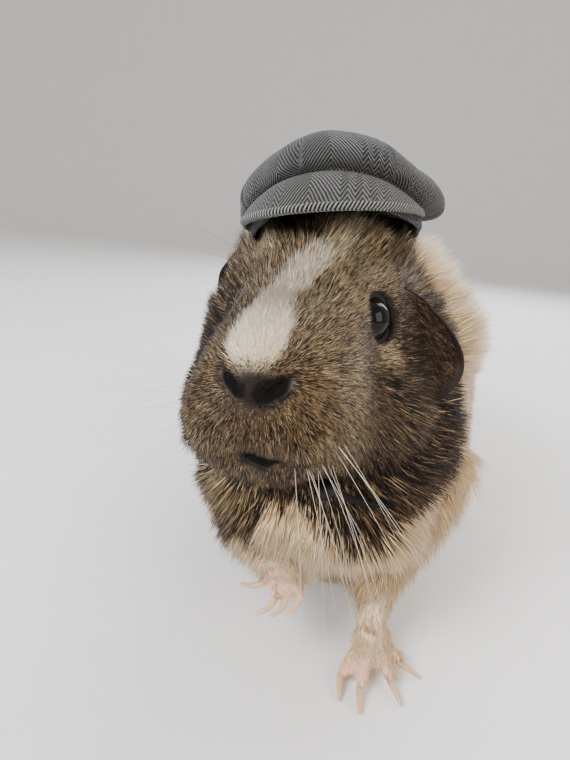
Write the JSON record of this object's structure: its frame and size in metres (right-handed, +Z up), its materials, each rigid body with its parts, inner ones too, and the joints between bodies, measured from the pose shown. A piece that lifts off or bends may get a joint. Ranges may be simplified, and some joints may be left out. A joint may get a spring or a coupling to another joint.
{
  "type": "guinea pig figure in a cap",
  "caption": "Life-size still model of a guinea pig on all but one lifted forepaw, wearing a tweed cap held by a thin chin strap.",
  "frame": {"origin": "on the floor, under the middle of the bounding box", "axes": "+Z up, -Y the way the animal faces, +X the animal's own left"},
  "size_m": [0.1166, 0.2352, 0.137],
  "materials": {
    "agouti_coat": "short ticked fur",
    "cream_coat": "soft fur",
    "foot_skin": "bare pink skin",
    "ear_skin": "thin dark skin",
    "horn": "translucent claw horn",
    "eye": "wet and glossy",
    "tweed": "woven wool herringbone",
    "elastic": "woven elastic cord"
  },
  "bodies": {
    "root": {"head": "agouti_coat", "neck": "agouti_coat", "left_eye": "eye", "right_eye": "eye", "left_ear": "ear_skin", "right_ear": "ear_skin", "cap_crown": "tweed", "cap_band": "tweed", "cap_peak": "tweed", "cap_button": "tweed", "chin_strap": "elastic", "strap_bead": "elastic", "chest": "cream_coat", "torso": "cream_coat", "rump": "cream_coat", "left_foreleg": "cream_coat", "right_foreleg": "cream_coat", "left_hindleg": "cream_coat", "right_hindleg": "cream_coat", "left_forefoot": "foot_skin", "right_forepaw": "foot_skin", "left_hindfoot": "foot_skin", "right_hindfoot": "foot_skin", "left_forefoot_claw_1": "horn", "left_forefoot_claw_2": "horn", "left_forefoot_claw_3": "horn", "left_forefoot_claw_4": "horn", "right_forepaw_claw_1": "horn", "right_forepaw_claw_2": "horn", "right_forepaw_claw_3": "horn", "right_forepaw_claw_4": "horn", "left_hindfoot_claw_1": "horn", "left_hindfoot_claw_2": "horn", "left_hindfoot_claw_3": "horn", "right_hindfoot_claw_1": "horn", "right_hindfoot_claw_2": "horn", "right_hindfoot_claw_3": "horn"}
  },
  "joints": []
}
